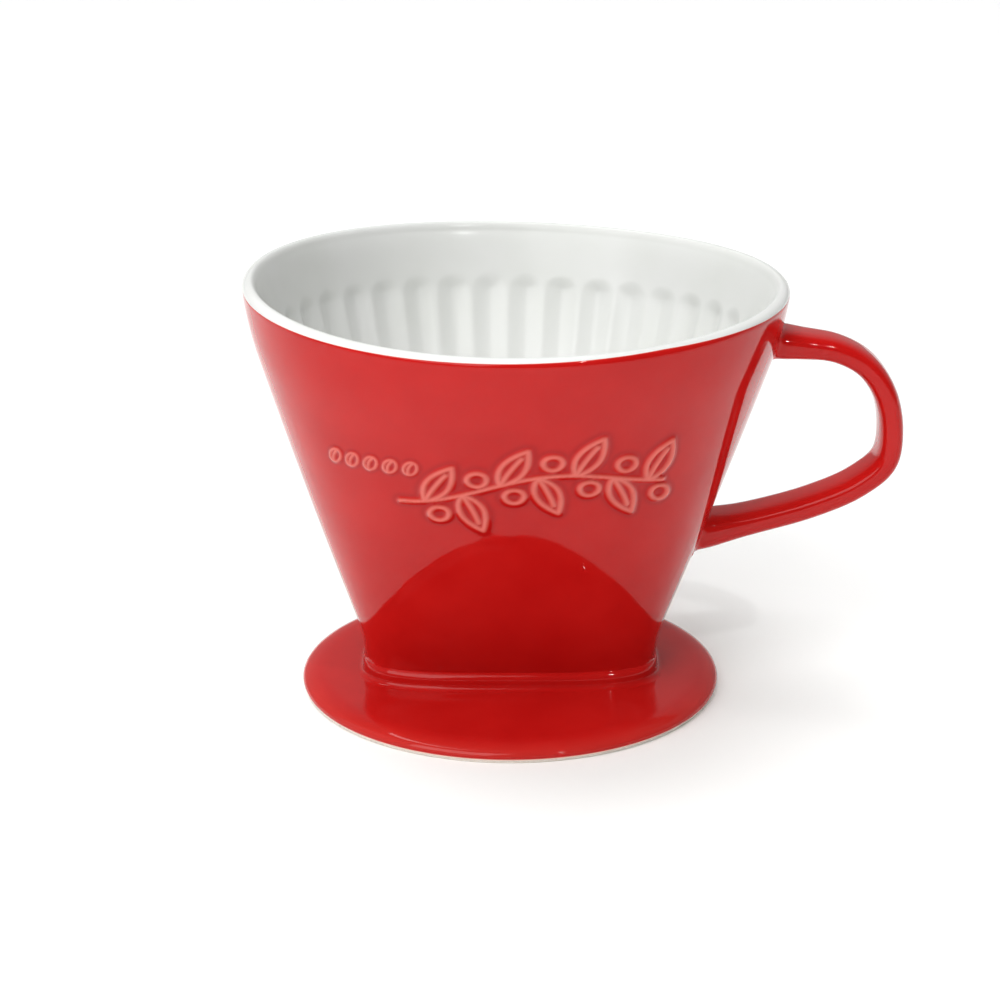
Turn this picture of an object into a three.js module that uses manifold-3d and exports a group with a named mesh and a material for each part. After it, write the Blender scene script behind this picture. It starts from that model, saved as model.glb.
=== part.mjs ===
// Pour-over coffee dripper: a glazed porcelain wedge on a round plate, with a loop handle.
// Millimetres, +Z up, +X towards the handle. The origin is under the middle of the bounding box.
import * as THREE from 'three';
import { mergeVertices } from 'three/addons/utils/BufferGeometryUtils.js';
import Module from 'manifold-3d';

const wasm = await Module();
wasm.setup();

// Heights.
const UNDERSIDE = 1.2;
const PLATE_TOP = 4.4;
const CONE_BASE = 8.7;
const FLOOR_TOP = 12.8;
const LIP_CENTRE = 106.2;
const GLAZE = 0.4;

// Filter cone: a rounded rectangle at the foot that opens into a circle at the rim.
const RIM_RADIUS = 67.6;
const FOOT_HALF_WIDTH = 35.6;
const FOOT_HALF_DEPTH = 17.0;
const FOOT_FLARE = 2.1;
const FRONT_FLARE = 0.5;
const FLARE_HEIGHT = 3.0;
const FOOT_SQUARENESS = 1.6;
const SQUARENESS_FADE = 1.3;
const SHOULDER_START = 90.0;
const SHOULDER = 1.75;
const LIP_RADIUS = 1.35;
const WALL = 4.2;
const COLOUR_LINE_DEG = 4;
const LIP_STEPS_DEG = [55, 90, 135, 180];

// Flutes inside the cone.
const FLUTE_COUNT = 38;
const FLUTE_DEPTH = 0.9;
const FLUTE_TOP = 94.5;
const FLUTE_BOTTOM = 17.0;
const FLUTE_RUN_OUT = 3.5;
const FLOOR_FILLET = 3.0;

// Drip holes in the floor of the cone.
const DRIP_HOLE_RADIUS = 2.0;
const DRIP_HOLE_PITCH = 13.0;
const DRIP_HOLE_COUNT = 3;
const DRIP_HOLE_SIDES = 16;

// Plinth between the cone and the plate: its top meets the foot of the cone, and its front and back
// stand proud of it by a rounded step. The outlet goes through the plinth and the plate.
const PLINTH_HALF_WIDTH = 38.3;
const PLINTH_HALF_DEPTH = 19.3;
const PLINTH_SQUARENESS = 3.6;
const PLINTH_TOP_HALF_WIDTH = 38.1;
const PLINTH_TOP_HALF_DEPTH = 17.2;
const PLINTH_ROUNDING = 2.1;
const PLINTH_FILLET = 0.7;
const OUTLET_HALF_WIDTH = 29.0;
const OUTLET_HALF_DEPTH = 12.0;
const OUTLET_SQUARENESS = 3.0;

// Base plate: flat, with an edge that rolls down. Two rings stand under it.
const PLATE_RADIUS = 54.3;
const EDGE_ROLL_WIDTH = 6.5;
const EDGE_UNDER_ROUND = 0.9;
const EDGE_HEIGHT = UNDERSIDE + EDGE_UNDER_ROUND;
const FOOT_RING_OUTER = 53.0;
const FOOT_RING_INNER = 49.0;
const CENTRING_RING_OUTER = 38.5;
const CENTRING_RING_INNER = 35.5;
const CENTRING_RING_BOTTOM = 0.5;
const RING_CHAMFER = 0.4;

// Handle: a flat strap bent round a D-shaped finger gap.
const HANDLE_HALF_WIDTH = 7.0;
const HANDLE_HALF_THICKNESS = 2.8;
const HANDLE_CORNER = 2.4;
const HANDLE_THICKENING = 1.16;
const HANDLE_ROOT_FLARE = 0.3;
const HANDLE_ROOT_WIDENING = 0.15;
const HANDLE_ROOT_LENGTH = 0.07;
const HANDLE_PATH = [
  [57.0, 92.7], [72.6, 91.3], [82.6, 89.7], [90.3, 85.9], [95.1, 78.8], [96.9, 69.4],
  [95.5, 60.4], [89.2, 54.0], [77.8, 48.8], [60.9, 43.9], [40.0, 39.3],
];
const JOINT_GAP = 0.3;

// Mesh fineness.
const COLUMNS = 2 * FLUTE_COUNT;
const OUTLINE_SAMPLES = 720;
const HANDLE_STEPS = 34;
const HANDLE_CORNER_STEPS = 3;
const FLARE_ROWS = [0, 0.5, 1.2, 3];
const ROLL_STEPS = 5;
const ROUND_STEPS = 3;
const ROUND_MIDDLE = 1 - Math.SQRT1_2;
const DIAGONAL_TIE = 1e-6;

const COLOURS = { red: 0xc4161a, white: 0xf1f3ee, biscuit: 0xe9dfd0 };
const GLAZED_ROUGHNESS = 0.08;
const UNGLAZED_ROUGHNESS = 0.6;
const glazed = (color) => new THREE.MeshStandardMaterial({ color, roughness: GLAZED_ROUGHNESS });
const unglazed = (color) => new THREE.MeshStandardMaterial({ color, roughness: UNGLAZED_ROUGHNESS });

// ---- outlines ------------------------------------------------------------

// A superellipse with its points evenly spaced along its length, each with its outward normal.
function evenOutline(halfWidth, halfDepth, squareness, count) {
  const samples = [];
  let length = 0;
  for (let i = 0; i <= OUTLINE_SAMPLES; i += 1) {
    const angle = (2 * Math.PI * i) / OUTLINE_SAMPLES;
    const c = Math.cos(angle);
    const s = Math.sin(angle);
    const sum = Math.abs(c / halfWidth) ** squareness + Math.abs(s / halfDepth) ** squareness;
    const radius = sum ** (-1 / squareness);
    const point = { x: radius * c, y: radius * s, along: 0 };
    if (i > 0) {
      const last = samples[i - 1];
      length += Math.hypot(point.x - last.x, point.y - last.y);
    }
    point.along = length;
    samples.push(point);
  }
  const outline = [];
  let k = 1;
  for (let i = 0; i < count; i += 1) {
    const along = (length * i) / count;
    while (samples[k].along < along) k += 1;
    const share = (along - samples[k - 1].along) / (samples[k].along - samples[k - 1].along);
    const x = THREE.MathUtils.lerp(samples[k - 1].x, samples[k].x, share);
    const y = THREE.MathUtils.lerp(samples[k - 1].y, samples[k].y, share);
    const nx = Math.sign(x) * Math.abs(x / halfWidth) ** (squareness - 1) / halfWidth;
    const ny = Math.sign(y) * Math.abs(y / halfDepth) ** (squareness - 1) / halfDepth;
    const size = Math.hypot(nx, ny);
    outline.push({ x, y, nx: nx / size, ny: ny / size });
  }
  return outline;
}

// The cone's outer porcelain outline at height z: straight walls with a flared foot and a shoulder
// that turns up under the rim.
function coneOutline(z) {
  const rise = (z - CONE_BASE) / (LIP_CENTRE - CONE_BASE);
  const flare = Math.exp(-(z - CONE_BASE) / FLARE_HEIGHT);
  const shoulder = SHOULDER * (Math.max(0, z - SHOULDER_START) / (LIP_CENTRE - SHOULDER_START)) ** 2;
  const aim = RIM_RADIUS + SHOULDER;
  const width = THREE.MathUtils.lerp(FOOT_HALF_WIDTH, aim, rise) + FOOT_FLARE * flare - shoulder;
  const depth = THREE.MathUtils.lerp(FOOT_HALF_DEPTH, aim, rise) + FRONT_FLARE * flare - shoulder;
  const squareness = 2 + FOOT_SQUARENESS * Math.max(0, 1 - rise) ** SQUARENESS_FADE;
  return evenOutline(width, depth, squareness, COLUMNS);
}

// One ring of the cone: height z, set in from the outer outline by inset, with flutes where asked.
// Above the lip's centre the outline stays that of the rim.
function coneRing({ z, inset, fluted = false }) {
  const outline = coneOutline(Math.min(z, LIP_CENTRE));
  return outline.map(({ x, y, nx, ny }, column) => {
    const flute = fluted && column % 2 === 1 ? FLUTE_DEPTH : 0;
    const depth = inset - flute;
    return new THREE.Vector3(x - depth * nx, y - depth * ny, z);
  });
}

// ---- solids --------------------------------------------------------------

// A closed body through rings that run anticlockwise seen along the way they are listed. A single
// point closes an end; with no such points, the last ring joins the first. A four-sided cell is split
// along its shorter diagonal, or from its lower row's first corner where the two are as long, so two
// bodies that share a surface split it the same way.
function loft(rings) {
  const points = rings.flat();
  const starts = [0];
  rings.forEach((ring) => starts.push(starts.at(-1) + [ring].flat().length));
  const columns = rings.find(Array.isArray).length;
  const closed = rings.every(Array.isArray);
  const at = (row, column) => starts[row] + (Array.isArray(rings[row]) ? column % columns : 0);
  const indices = [];
  for (let row = 0; row < (closed ? rings.length : rings.length - 1); row += 1) {
    const above = (row + 1) % rings.length;
    for (let column = 0; column < columns; column += 1) {
      const [a, b] = [at(row, column), at(row, column + 1)];
      const [d, c] = [at(above, column), at(above, column + 1)];
      const excess = points[a].distanceTo(points[c]) - points[b].distanceTo(points[d]);
      const tied = Math.abs(excess) < DIAGONAL_TIE;
      const split = tied ? points[a].z < points[d].z : excess < 0;
      const cell = split ? [[a, b, c], [a, c, d]] : [[a, b, d], [b, c, d]];
      cell.filter(([i, j, k]) => i !== j && j !== k && k !== i).forEach((face) => indices.push(...face));
    }
  }
  const geometry = new THREE.BufferGeometry();
  geometry.setAttribute('position', new THREE.Float32BufferAttribute(points.flatMap((p) => p.toArray()), 3));
  geometry.setIndex(indices);
  return geometry;
}

function toManifold(geometry) {
  const bare = geometry.clone();
  bare.deleteAttribute('normal');
  bare.deleteAttribute('uv');
  const merged = mergeVertices(bare);
  return new wasm.Manifold(new wasm.Mesh({
    numProp: 3,
    vertProperties: merged.attributes.position.array,
    triVerts: new Uint32Array(merged.index.array),
  }));
}

function fromManifold(solid) {
  const { vertProperties, triVerts } = solid.getMesh();
  const geometry = new THREE.BufferGeometry();
  geometry.setAttribute('position', new THREE.BufferAttribute(vertProperties, 3));
  geometry.setIndex(new THREE.BufferAttribute(triVerts, 1));
  return geometry;
}

function namedMesh(name, geometry, material) {
  const mesh = new THREE.Mesh(geometry, material);
  mesh.name = name;
  return mesh;
}

// ---- filter cone and its two glazes --------------------------------------

// A point row on the round lip: 0 degrees is its outer side, 180 its inner side.
function lipRow(degrees, coat) {
  const angle = THREE.MathUtils.degToRad(degrees);
  const radius = LIP_RADIUS + coat;
  return { z: LIP_CENTRE + radius * Math.sin(angle), inset: LIP_RADIUS - radius * Math.cos(angle) };
}

// Rows up the outside of the porcelain, or of a coat on it, as far as the colour line.
function outerRows(coat) {
  const flareHeights = FLARE_ROWS.map((share) => CONE_BASE + share * FLARE_HEIGHT);
  const shoulderMiddle = (SHOULDER_START + LIP_CENTRE) / 2;
  const heights = [...flareHeights, (CONE_BASE + SHOULDER_START) / 2, SHOULDER_START, shoulderMiddle];
  const wall = heights.map((z) => ({ z, inset: -coat }));
  return [...wall, lipRow(0, coat), lipRow(COLOUR_LINE_DEG, coat)];
}

// Rows from the colour line over the lip and down the fluted inside to the floor. The wall thickens
// from the lip to the tops of the flutes.
function innerRows(coat) {
  const inset = WALL + coat;
  const middle = (FLUTE_TOP + FLUTE_BOTTOM) / 2;
  return [
    ...[COLOUR_LINE_DEG, ...LIP_STEPS_DEG].map((degrees) => lipRow(degrees, coat)),
    { z: FLUTE_TOP, inset },
    { z: FLUTE_TOP - FLUTE_RUN_OUT, inset, fluted: true },
    { z: middle, inset, fluted: true },
    { z: FLUTE_BOTTOM + FLUTE_RUN_OUT, inset, fluted: true },
    { z: FLUTE_BOTTOM, inset },
    { z: FLOOR_TOP + coat + ROUND_MIDDLE * FLOOR_FILLET, inset: inset + ROUND_MIDDLE * FLOOR_FILLET },
    { z: FLOOR_TOP + coat, inset: inset + FLOOR_FILLET },
  ];
}

const axisPoint = (z) => new THREE.Vector3(0, 0, z);

function dripHoles() {
  const height = 2 * (FLOOR_TOP + GLAZE + DRIP_HOLE_RADIUS);
  const cylinder = new THREE.CylinderGeometry(DRIP_HOLE_RADIUS, DRIP_HOLE_RADIUS, height, DRIP_HOLE_SIDES);
  cylinder.rotateX(Math.PI / 2);
  return Array.from({ length: DRIP_HOLE_COUNT }, (_, i) => {
    const x = (i - (DRIP_HOLE_COUNT - 1) / 2) * DRIP_HOLE_PITCH;
    return toManifold(cylinder.clone().translate(x, 0, 0));
  });
}

function withDripHoles(geometry) {
  return fromManifold(dripHoles().reduce((solid, hole) => solid.subtract(hole), toManifold(geometry)));
}

function filterCone() {
  const outside = outerRows(0).map(coneRing);
  const inside = innerRows(0).slice(1).map(coneRing);
  return withDripHoles(loft([axisPoint(CONE_BASE), ...outside, ...inside, axisPoint(FLOOR_TOP)]));
}

function redGlaze() {
  const outside = outerRows(GLAZE).map(coneRing);
  const inside = outerRows(0).map(coneRing).reverse();
  return loft([...outside, ...inside]);
}

function whiteGlaze() {
  const porcelainSide = innerRows(0).map(coneRing).reverse();
  const bowlSide = innerRows(GLAZE).map(coneRing);
  const floor = FLOOR_TOP + GLAZE;
  return withDripHoles(loft([axisPoint(FLOOR_TOP), ...porcelainSide, ...bowlSide, axisPoint(floor)]));
}

// ---- plinth, plate and rings ---------------------------------------------

function outlineRing(halfWidth, halfDepth, squareness, z) {
  return evenOutline(halfWidth, halfDepth, squareness, COLUMNS).map(({ x, y }) => new THREE.Vector3(x, y, z));
}

const circle = (radius, z) => outlineRing(radius, radius, 2, z);
const outlet = (z) => outlineRing(OUTLET_HALF_WIDTH, OUTLET_HALF_DEPTH, OUTLET_SQUARENESS, z);

// Points of a quarter turn from angle start, as cosines and sines.
function quarterTurn(start, steps) {
  return Array.from({ length: steps + 1 }, (_, i) => {
    const angle = start + (i / steps) * (Math.PI / 2);
    return { c: Math.cos(angle), s: Math.sin(angle) };
  });
}

function plinth() {
  const fillet = quarterTurn(0, ROUND_STEPS).map(({ c, s }) => {
    const out = PLINTH_FILLET * (1 - s);
    const z = PLATE_TOP + PLINTH_FILLET * (1 - c);
    return outlineRing(PLINTH_HALF_WIDTH + out, PLINTH_HALF_DEPTH + out, PLINTH_SQUARENESS, z);
  });
  const rounding = quarterTurn(0, ROUND_STEPS).map(({ c, s }) => {
    const halfWidth = THREE.MathUtils.lerp(PLINTH_TOP_HALF_WIDTH, PLINTH_HALF_WIDTH, c);
    const halfDepth = THREE.MathUtils.lerp(PLINTH_TOP_HALF_DEPTH, PLINTH_HALF_DEPTH, c);
    return outlineRing(halfWidth, halfDepth, PLINTH_SQUARENESS, CONE_BASE - PLINTH_ROUNDING * (1 - s));
  });
  return loft([...fillet, ...rounding, outlet(CONE_BASE), outlet(PLATE_TOP)]);
}

function basePlate() {
  const under = quarterTurn(-Math.PI / 2, ROUND_STEPS).map(({ c, s }) =>
    circle(PLATE_RADIUS - EDGE_UNDER_ROUND * (1 - c), EDGE_HEIGHT + EDGE_UNDER_ROUND * s));
  const roll = quarterTurn(0, ROLL_STEPS).slice(1).map(({ c, s }) =>
    circle(PLATE_RADIUS - EDGE_ROLL_WIDTH * (1 - c), THREE.MathUtils.lerp(EDGE_HEIGHT, PLATE_TOP, s)));
  const ringEdges = [CENTRING_RING_INNER, CENTRING_RING_OUTER, FOOT_RING_INNER, FOOT_RING_OUTER];
  const underside = ringEdges.map((radius) => circle(radius, UNDERSIDE));
  return loft([...under, ...roll, outlet(PLATE_TOP), outlet(UNDERSIDE), ...underside]);
}

// A ring that hangs from the underside of the plate.
function ring(inner, outer, bottom) {
  const profile = [
    [inner, UNDERSIDE],
    [inner, bottom + RING_CHAMFER],
    [inner + RING_CHAMFER, bottom],
    [outer - RING_CHAMFER, bottom],
    [outer, bottom + RING_CHAMFER],
    [outer, UNDERSIDE],
    [inner, UNDERSIDE],
  ];
  const geometry = new THREE.LatheGeometry(profile.map(([x, z]) => new THREE.Vector2(x, z)), COLUMNS);
  geometry.rotateX(Math.PI / 2);
  return geometry;
}

// ---- handle --------------------------------------------------------------

// The strap's rounded rectangular section, as offsets across its thickness and its width.
function strapSection(halfThickness, halfWidth) {
  const corners = [[1, -1], [1, 1], [-1, 1], [-1, -1]];
  return corners.flatMap(([thickSide, wideSide], quarter) => {
    const steps = Array.from({ length: HANDLE_CORNER_STEPS }, (_, i) => i / (HANDLE_CORNER_STEPS - 1));
    return steps.map((step) => {
      const angle = (quarter - 1 + step) * (Math.PI / 2);
      return {
        thick: thickSide * (halfThickness - HANDLE_CORNER) + HANDLE_CORNER * Math.cos(angle),
        wide: wideSide * (halfWidth - HANDLE_CORNER) + HANDLE_CORNER * Math.sin(angle),
      };
    });
  });
}

function handle() {
  const path = new THREE.CatmullRomCurve3(
    HANDLE_PATH.map(([x, z]) => new THREE.Vector3(x, 0, z)), false, 'centripetal');
  const rings = [];
  for (let i = 0; i <= HANDLE_STEPS; i += 1) {
    const share = i / HANDLE_STEPS;
    const centre = path.getPointAt(share);
    const tangent = path.getTangentAt(share);
    const across = new THREE.Vector3(tangent.z, 0, -tangent.x);
    const fromRoot = Math.max(0, Math.min(share, 1 - share) / HANDLE_ROOT_LENGTH - 1);
    const flare = Math.exp(-fromRoot * fromRoot);
    const growth = THREE.MathUtils.lerp(1, HANDLE_THICKENING, share);
    const halfThickness = HANDLE_HALF_THICKNESS * growth * (1 + HANDLE_ROOT_FLARE * flare);
    const halfWidth = HANDLE_HALF_WIDTH * (1 + HANDLE_ROOT_WIDENING * flare);
    rings.push(strapSection(halfThickness, halfWidth).map(({ thick, wide }) =>
      centre.clone().addScaledVector(across, thick).setY(wide)));
  }
  const ends = [path.getPointAt(0), path.getPointAt(1)];
  const strap = toManifold(loft([ends[0], ...rings, ends[1]]));
  const wall = outerRows(GLAZE + JOINT_GAP).map(coneRing);
  const keepOut = toManifold(loft([axisPoint(CONE_BASE), ...wall, axisPoint(wall.at(-1)[0].z)]));
  return fromManifold(strap.subtract(keepOut));
}

// ---- assembly ------------------------------------------------------------

const assembly = new THREE.Group();
assembly.add(
  namedMesh('filter_cone', filterCone(), unglazed(COLOURS.biscuit)),
  namedMesh('red_glaze', redGlaze(), glazed(COLOURS.red)),
  namedMesh('white_glaze', whiteGlaze(), glazed(COLOURS.white)),
  namedMesh('plinth', plinth(), glazed(COLOURS.red)),
  namedMesh('base_plate', basePlate(), glazed(COLOURS.red)),
  namedMesh('foot_ring', ring(FOOT_RING_INNER, FOOT_RING_OUTER, 0), unglazed(COLOURS.biscuit)),
  namedMesh('centring_ring', ring(CENTRING_RING_INNER, CENTRING_RING_OUTER, CENTRING_RING_BOTTOM),
    glazed(COLOURS.red)),
  namedMesh('handle', handle(), glazed(COLOURS.red)),
);
const middle = new THREE.Box3().setFromObject(assembly).getCenter(new THREE.Vector3());
assembly.position.set(-middle.x, -middle.y, 0);

export default assembly;
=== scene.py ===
import math

import bmesh
import bpy
import numpy as np
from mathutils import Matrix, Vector


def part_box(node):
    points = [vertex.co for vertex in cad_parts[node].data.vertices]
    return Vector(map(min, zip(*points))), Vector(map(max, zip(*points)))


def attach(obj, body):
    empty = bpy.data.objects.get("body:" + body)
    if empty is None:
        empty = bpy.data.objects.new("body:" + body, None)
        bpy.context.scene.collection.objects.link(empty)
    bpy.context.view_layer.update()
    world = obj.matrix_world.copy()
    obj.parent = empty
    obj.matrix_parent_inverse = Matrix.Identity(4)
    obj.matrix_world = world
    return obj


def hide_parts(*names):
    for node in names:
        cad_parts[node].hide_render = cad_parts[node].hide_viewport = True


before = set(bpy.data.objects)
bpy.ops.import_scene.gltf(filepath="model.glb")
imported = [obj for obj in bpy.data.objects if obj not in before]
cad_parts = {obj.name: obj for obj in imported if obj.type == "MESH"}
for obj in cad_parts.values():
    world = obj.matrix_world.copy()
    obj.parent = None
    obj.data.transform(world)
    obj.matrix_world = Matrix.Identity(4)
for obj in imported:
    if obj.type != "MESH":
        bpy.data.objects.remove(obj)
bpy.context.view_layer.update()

# A pour-over coffee dripper: a fired porcelain wedge with a red coat outside and a white one inside, on a
# stepped plinth and a round plate, with a loop handle. Sizes are in millimetres from the plate's axis, +Z up
# from the table, and place() turns them into metres in the frame's own axes.

MM = 0.001


def box_mm(node):
    low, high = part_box(node)
    return np.array(low) / MM, np.array(high) / MM


# ---- sizes read from the frame ----

cone_low = box_mm("filter_cone")[0]
coat_low, coat_high = box_mm("red_glaze")
lining_low, lining_high = box_mm("white_glaze")
plate_low, plate_high = box_mm("base_plate")

GLAZE = 0.4
LIP_RADIUS = 2.1
AXIS_X = (plate_low[0] + plate_high[0]) / 2
CONE_BASE = cone_low[2]
LIP_CENTRE = lining_high[2] - LIP_RADIUS
FLOOR_TOP = lining_low[2] + GLAZE
RIM_RADIUS = (coat_high[1] - coat_low[1]) / 2
PLATE_RADIUS = (plate_high[1] - plate_low[1]) / 2
UNDERSIDE, PLATE_TOP = plate_low[2], plate_high[2]

# ---- the cone's own sizes ----

FOOT_HALF_WIDTH = 36.0
FOOT_HALF_DEPTH = 17.4
FOOT_FLARE = 2.1
FRONT_FLARE = 0.5
FLARE_HEIGHT = 3.0
FOOT_SQUARENESS = 1.6
SQUARENESS_FADE = 1.3
SHOULDER_START = 90.0
SHOULDER = 1.75
WALL = 4.6
# Where the red ends on the round lip, for bearings round the rim from the handle. It is an angle up the
# lip's section, 0 at its outer side and 90 at its top, and is highest at the front, towards the handle.
COLOUR_LINE_BEARINGS = (-180, -150, -90, -60, -30, 0, 60, 180)
COLOUR_LINE_DEG = (6, 14, 34, 48, 20, 6, 6, 6)
LINE_THINNING = 0.9
LINE_SHARPNESS = 12
COAT_SINK = 0.25

FLUTE_COUNT = 38
FLUTE_COLUMNS = 14
FLUTE_DEPTH = 1.3
FLUTE_HALF_WIDTH = 0.45
FLUTE_SHIFT = 0.2
FLUTE_ROUNDING = 1.35
FLUTE_RUN_OUT = 8.0
FLUTE_TOP = 95.4
FLUTE_BOTTOM = 17.0
FLUTE_MARGIN = 0.4
FLOOR_FILLET = 3.0
WALL_SLOPE_DEG = 27.0

DRIP_HOLE_RADIUS = 2.0
DRIP_HOLE_PITCH = 13.0
DRIP_HOLE_COUNT = 3
DRIP_HOLE_EDGE = 0.5
DRIP_HOLE_EDGE_ROUND = 0.3

# Kiln warp: the rim leans towards the handle and waves up and down a little.
LEAN = 1.45
RIM_WAVE = 1.03
RIM_WAVE_DEG = 13.7
RIM_TILT = -0.9
RIM_BOW = 0.58

# ---- plinth, plate and rings ----

PLINTH_HALF_WIDTH = 38.3
PLINTH_HALF_DEPTH = 19.3
PLINTH_TOP_HALF_WIDTH = 38.1
PLINTH_TOP_HALF_DEPTH = 17.2
PLINTH_SQUARENESS = 3.6
PLINTH_ROUNDING = 2.1
PLINTH_FILLET = 1.4
OUTLET_HALF_WIDTH = 29.0
OUTLET_HALF_DEPTH = 12.0
OUTLET_SQUARENESS = 3.0
EDGE_ROLL_WIDTH = 6.5
EDGE_HEIGHT = 1.8
EDGE_UNDER_ROUND = 1.3
EDGE_THINNING = 0.15
# The plate's lower corner is bare up to the first of these sines of the angle round it, and glazed from the
# second.
BARE_EDGE = 2.2
BARE_EDGE_SINES = (-0.525, -0.275)
PLATE_FLAT_RADIUS = 39.5
PLATE_FLAT_STEPS = (0.33, 0.66, 1.0)
UNDERSIDE_RADII = (34, 40, 46, 52)
RING_ROUND = 0.4
FOOT_RING_WIDTH = 4.9
FOOT_RING_FLARE = 0.6
CENTRING_RING_WIDTH = 3.0

# ---- handle ----

HANDLE_HALF_WIDTH = 7.0
HANDLE_HALF_THICKNESS = 2.95
HANDLE_SQUARENESS = 3.0
HANDLE_THICKENING = 1.11
HANDLE_ROOT_FLARE = 0.3
HANDLE_ROOT_WIDENING = 0.15
HANDLE_ROOT_LENGTH = 0.07
HANDLE_ROOT_DEPTH = 1.6
HANDLE_FILLET = 2.0
SIDE_SLOPE_DEG = 18.8
HANDLE_PATH = [
    (57.0, 92.5), (72.6, 91.1), (82.2, 89.6), (89.5, 85.6), (94.4, 78.6), (96.5, 69.3),
    (95.4, 60.5), (88.7, 54.3), (77.6, 49.1), (60.9, 44.2), (40.0, 39.6),
]

# ---- raised ornament on the front, in millimetres across and up the wall from its middle ----

FRONT_SHARE = 0.75
ORNAMENT_Z = 69.5
ORNAMENT_HEIGHT = 0.95
ORNAMENT_HALF_LENGTH = 50
ORNAMENT_HALF_BREADTH = 26
BOLD_LINE = 0.85
FINE_LINE = 0.5
# How strongly the glaze is darkened beside the lines, as pooled glaze and as painted shade, and how many of
# their half widths from their middle.
POOLING_AND_SHADE = 0.4
POOLING_AND_SHADE_DISTANCE = 1.9

STEM_ENDS = (-27, 36)
STEM_WAVE = 3.6
STEM_WAVE_START = -8
STEM_HALF_WAVE = 34
STEM_CLIMB = 0.08
STEM_LIFT = 1.0
LEAF_COUNT = 7
LEAF_ROOT_ENDS = (-21, 32)
LEAF_LENGTH = 13.5
LEAF_BREADTH = 5.6
LEAF_BELLY = 0.42
LEAF_UP_DEG = 62
LEAF_DOWN_DEG = -68
MIDRIB_LENGTH = 0.78
MIDRIB_BEND = 0.1
CHERRY_RADIUS = 2.3
CHERRY_ALONG_STEM = 2
CHERRY_OFFSET = (1.4, 4.6)
BEAN_COUNT = 5
BEAN_PITCH = 5.1
FIRST_BEAN = -45
BEAN_LIFT = 6.5
BEAN_HALF_WIDTH = 1.6
BEAN_HALF_HEIGHT = 2.2
BEAN_TILT_DEG = -16
CREASE_END = (0.5, 1.7)
CREASE_BEND = (-0.9, 0.0)

# ---- how finely the meshes are cut: rows up the wall, columns round it ----

OUTLINE_SAMPLES = 2881
FLARE_ROWS = 16
FLARE_ROWS_RISE = 12
FLARE_ROWS_CROWDING = 1.6
# Bands of rows: where each starts and ends, and how many.
COAT_BANDS = ((22, 50, 12), (50.5, 88, 96), (89, LIP_CENTRE - 0.4, 16))
FLUTE_BANDS = ((FLUTE_TOP, FLUTE_TOP - 5.5, 15), (FLUTE_TOP - 7.5, FLUTE_BOTTOM + 5, 12))
FLUTE_END_BAND = (FLUTE_BOTTOM + 3.6, FLUTE_BOTTOM, 5)
COAT_LIP_ROWS = 12
COAT_BACK_ROWS = 12
LINING_LIP_ROWS = 5
SHOULDER_ROWS = 15
BODY_ROWS = 24
FILLET_ROWS = 6
PLINTH_ROUNDING_ROWS = 12
EDGE_UNDER_ROWS = 8
EDGE_ROLL_ROWS = 20
RING_ROWS = 5
HANDLE_ROWS = 420

ORNAMENT_SHARE = 0.145
ORNAMENT_COLUMNS = 270
PLAIN_COLUMNS = 150
HOLE_COLUMNS = 32
PLATE_COLUMNS = 360
RING_COLUMNS = 240
HANDLE_COLUMNS = 72

STEM_DOTS = 120
OVAL_DOTS = 50
BEZIER_DOTS = 40
PATH_DOTS = 80
SHARP_ANGLE_DEG = 50


# ---- outlines ----

def lerp(a, b, share):
    return a + (b - a) * share


def superellipse(half_width, half_depth, squareness, shares):
    """Points and outward normals at shares of the outline's length, anticlockwise from +X, and the length."""
    angle = np.linspace(0, 2 * math.pi, OUTLINE_SAMPLES)
    c, s = np.cos(angle), np.sin(angle)
    reach = np.abs(c / half_width) ** squareness + np.abs(s / half_depth) ** squareness
    radius = reach ** (-1 / squareness)
    x, y = radius * c, radius * s
    along = np.concatenate([[0], np.cumsum(np.hypot(np.diff(x), np.diff(y)))])
    at = shares * along[-1]
    px, py = np.interp(at, along, x), np.interp(at, along, y)
    nx = np.sign(px) * np.abs(px / half_width) ** (squareness - 1) / half_width
    ny = np.sign(py) * np.abs(py / half_depth) ** (squareness - 1) / half_depth
    size = np.hypot(nx, ny)
    return np.stack([px, py], 1), np.stack([nx / size, ny / size], 1), along[-1]


def wall_outline(z):
    """Half width, half depth and squareness of the glazed outside at height z."""
    rise = (z - CONE_BASE) / (LIP_CENTRE - CONE_BASE)
    flare = np.exp(-(z - CONE_BASE) / FLARE_HEIGHT)
    shoulder = SHOULDER * (np.maximum(0, z - SHOULDER_START) / (LIP_CENTRE - SHOULDER_START)) ** 2
    aim = RIM_RADIUS + SHOULDER
    half_width = lerp(FOOT_HALF_WIDTH, aim, rise) + FOOT_FLARE * flare - shoulder
    half_depth = lerp(FOOT_HALF_DEPTH, aim, rise) + FRONT_FLARE * flare - shoulder
    squareness = 2 + FOOT_SQUARENESS * np.maximum(0, 1 - rise) ** SQUARENESS_FADE
    return half_width, half_depth, squareness


def wall_ring(z, inset, shares):
    """One ring of the cone, set in from its glazed outside. Above the lip's centre its outline stays."""
    points, normals, _ = superellipse(*wall_outline(min(z, LIP_CENTRE)), shares)
    inward = points - normals * np.reshape(inset, (-1, 1))
    return np.column_stack([inward, np.full(len(shares), z)])


def lip_ring(degrees, radius, shares):
    """One ring round the lip's section, at an angle of its own for each share of the rim."""
    points, normals, _ = superellipse(*wall_outline(LIP_CENTRE), shares)
    angle = np.radians(degrees)
    out = (radius * np.cos(angle) - LIP_RADIUS)[:, None]
    return np.column_stack([points + normals * out, LIP_CENTRE + radius * np.sin(angle)])


def colour_line(shares):
    """The angle up the lip's section at which the red ends, at shares of the rim."""
    bearings = (shares * 360 + 180) % 360 - 180
    return np.interp(bearings, COLOUR_LINE_BEARINGS, COLOUR_LINE_DEG)


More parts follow.
